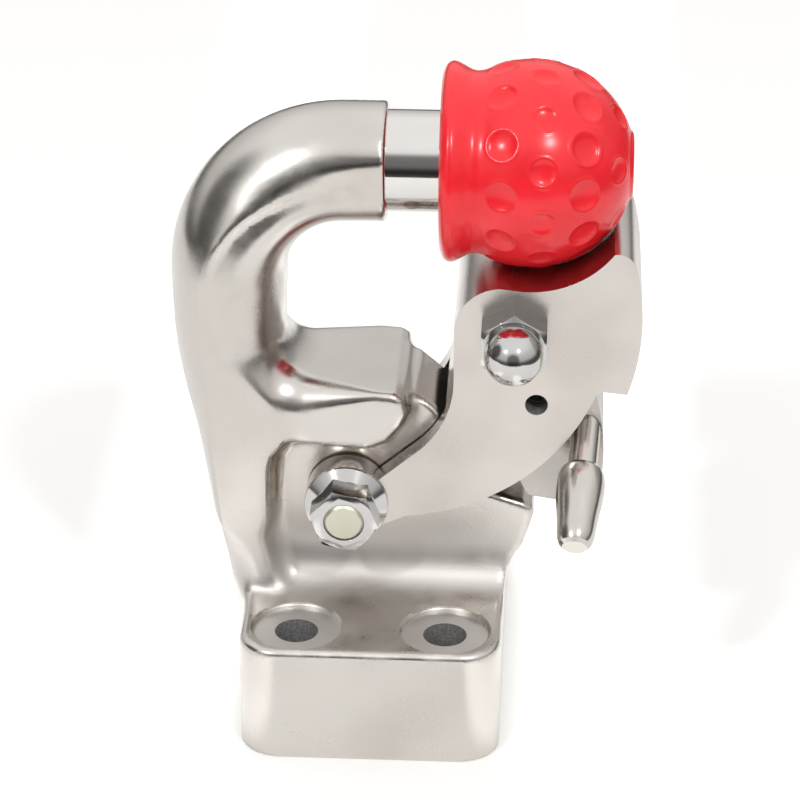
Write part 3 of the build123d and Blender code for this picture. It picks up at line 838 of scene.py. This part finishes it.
def softened(node, name, width, segments=3):
    """Copy of a CAD node whose sharp edges are rounded by width, in millimetres."""
    mesh = frame["nodes"][node].data.copy()
    solid = bmesh.new()
    solid.from_mesh(mesh)
    bmesh.ops.remove_doubles(solid, verts=solid.verts, dist=2e-6)
    bmesh.ops.dissolve_limit(
        solid, angle_limit=FLAT_ANGLE, verts=solid.verts, edges=solid.edges, use_dissolve_boundaries=False
    )
    solid.to_mesh(mesh)
    solid.free()
    if "custom_normal" in mesh.attributes:
        mesh.attributes.remove(mesh.attributes["custom_normal"])
    mesh.materials.clear()
    made = bpy.data.objects.new(name, mesh)
    bpy.context.scene.collection.objects.link(made)
    bevel = made.modifiers.new("edge", "BEVEL")
    bevel.width = width * MM
    bevel.segments = segments
    bevel.limit_method = "ANGLE"
    bevel.angle_limit = BEVEL_ANGLE
    bevel.harden_normals = True
    mesh.shade_smooth()
    mesh.set_sharp_from_angle(angle=SHARP_ANGLE)
    return made


SOFTENED = (
    ("latch", "latch_casting", 1.3, cheek_steel, "latch", "brushed_latch"),
    # the lever's darker steel colour is painted shade
    ("lever", "lever_block", 1.0, lever_casting, "lever", "lever_casting"),
    ("lever_cap_nut", "cap_nut", 0.45, nut_steel, "latch", "nut_steel"),
    ("pivot_nut", "flange_nut", 0.35, nut_steel, "latch", "nut_steel"),
    ("pivot_bolt", "pivot_bolt_body", 0.3, bolt_steel, "latch", "bolt_steel"),
    ("lever_bolt", "lever_bolt_body", 0.3, bolt_steel, "latch", "bolt_steel"),
)
for node, name, width, material, body, slot in SOFTENED:
    finish_piece(softened(node, name, width), material, body, slot, node)

# walls of the lock pin's hole keep the grit
PIN = place(MOUNTS["lock_pin_hole"])
PIN_RADIUS = MOUNTS["lock_pin_hole"]["dims"]["r_mm"]
for name in ("latch_casting", "lever_block"):
    mesh = bpy.data.objects[name].data
    mesh.materials.append(hole_wall)
    for face in mesh.polygons:
        x, _, z = face.center / MM
        if sqrt((x - PIN[0]) ** 2 + (z - PIN[1]) ** 2) < PIN_RADIUS + 0.1 and abs(face.normal.y) < 0.5:
            face.material_index = 1

KEPT = {
    "tow_ball": neck_steel, "finger_pull_front": pull_steel, "finger_pull_back": pull_steel,
    "pivot_bush": bronze, "lever_bush": bronze, "thrust_washer_front": bronze,
    "thrust_washer_back": bronze, "lever_spacer_front": spring_steel,
    "lever_spacer_back": spring_steel, "lever_bolt_washer": bolt_steel, "torsion_spring": spring_steel,
}
for node, material in KEPT.items():
    for slot in frame["nodes"][node].material_slots:
        slot.material = material
print("kept CAD nodes", len(KEPT), "softened", len(SOFTENED))

# %% [markdown]
# ## Studio
#
# A pale floor, a bright surround and two small lamps. Beside the block the floor glows in two strips,
# painted light that the steel mirrors as bright bands. Polished steel shows mostly what is around it, so the
# surround is the main tool: it is bright overhead and in front, with a few soft dark flags that draw the
# dark bands on the horn.

# %% Floor, surround, lamps and camera

FLOOR_LOW = (-1.00, -0.62)
FLOOR_HIGH = (0.50, 1.00)


def floor():
    """Pale table top that ends just outside the view, so that steel can mirror the dark beyond it. Two
    strips beside the block glow: painted light that the steel mirrors as bright bands.
    """
    (x0, y0), (x1, y1) = FLOOR_LOW, FLOOR_HIGH
    corners = np.array([(x0, y0, 0), (x1, y0, 0), (x1, y1, 0), (x0, y1, 0)])
    made = mesh_object("floor", corners / MM, [(0, 1, 2, 3)])
    paint = Finish("pale floor", 0.0)
    parts = paint.node("ShaderNodeSeparateXYZ", {}, {0: paint.place})
    aside = paint.value(parts.outputs["X"])
    aside = aside.math("ABSOLUTE", aside)
    near = paint.value(parts.outputs["Y"]).ramp(-0.17, -0.12)
    # painted glow: two strips of the floor beside the block give off light, so the steel shows bright bands
    # there
    painted_glow_strip = aside.ramp(0.034, 0.052) * (1.0 - aside.ramp(0.075, 0.11)) * near
    glow = paint.blend(painted_glow_strip, (0.06, 0.06, 0.058), (0.50, 0.50, 0.495))
    paint.tree.links.new(glow, paint.surface.inputs["Emission Color"])
    paint.surface.inputs["Emission Strength"].default_value = 1.0
    paint.surface.inputs["Specular IOR Level"].default_value = 0.0
    paint.set(colour=(0.90, 0.895, 0.885, 1.0), roughness=0.9)
    made.data.materials.append(paint.material)


# direction of each flag, cosine where it starts and where it is full, how much light it takes
FLAGS = (
    ((-0.92, -0.11, 0.36), 0.88, 0.97, 0.85),
    ((0.80, 0.55, 0.20), 0.90, 0.98, 0.45),
    ((0.0, -0.97, 0.20), 0.87, 0.96, 0.72),
)


def surround():
    """Bright studio around the piece, darker at the flags."""
    world = bpy.data.worlds.new("studio")
    world.use_nodes = True
    bpy.context.scene.world = world
    shader = Shader(world.node_tree)
    direction = shader.node("ShaderNodeTexCoord").outputs["Generated"]
    parts = shader.node("ShaderNodeSeparateXYZ", {}, {0: direction})
    up = shader.value(parts.outputs["Z"])
    light = 0.10 + 0.60 * up.ramp(-0.06, 0.22) + 0.40 * up.ramp(0.2, 0.85)
    for towards, start, full, taken in FLAGS:
        aim = shader.node("ShaderNodeVectorMath", {"operation": "DOT_PRODUCT"})
        shader.tree.links.new(direction, aim.inputs[0])
        aim.inputs[1].default_value = Vector(towards).normalized()
        near = shader.value(aim.outputs["Value"]).ramp(start, full)
        light = light * (1.0 - taken * near)
    colour = shader.blend(up.ramp(0.0, 0.6), (1.0, 0.975, 0.945), (1.0, 0.995, 0.99))
    background = shader.node("ShaderNodeBackground", {}, {"Color": colour, "Strength": light})
    output = shader.node("ShaderNodeOutputWorld")
    shader.tree.links.new(background.outputs[0], output.inputs["Surface"])


def lamp(name, position, size, watts):
    """Round lamp that points at the middle of the piece."""
    data = bpy.data.lights.new(name, "AREA")
    data.shape = "DISK"
    data.size = size
    data.energy = watts
    made = bpy.data.objects.new(name, data)
    made.location = position
    aim = Vector((0, 0, 0.1)) - Vector(position)
    made.rotation_euler = aim.to_track_quat("-Z", "Y").to_euler()
    bpy.context.scene.collection.objects.link(made)


floor()
surround()
lamp("left lamp", (-0.75, -1.0, 1.15), 0.12, 5.0)
lamp("right lamp", (0.55, -1.0, 1.25), 0.12, 5.0)

camera = bpy.data.objects.new("camera", bpy.data.cameras.new("camera"))
camera.location = (0.05238, -0.85618, 0.54166)
camera.rotation_euler = (radians(90 - 27.7), 0, radians(3.067))
camera.data.lens = 144.0
camera.data.sensor_width = 36.0
bpy.context.scene.collection.objects.link(camera)
bpy.context.scene.camera = camera
bpy.context.scene.view_settings.view_transform = "Standard"
print("lamps", len(bpy.data.lights), "flags", len(FLAGS))
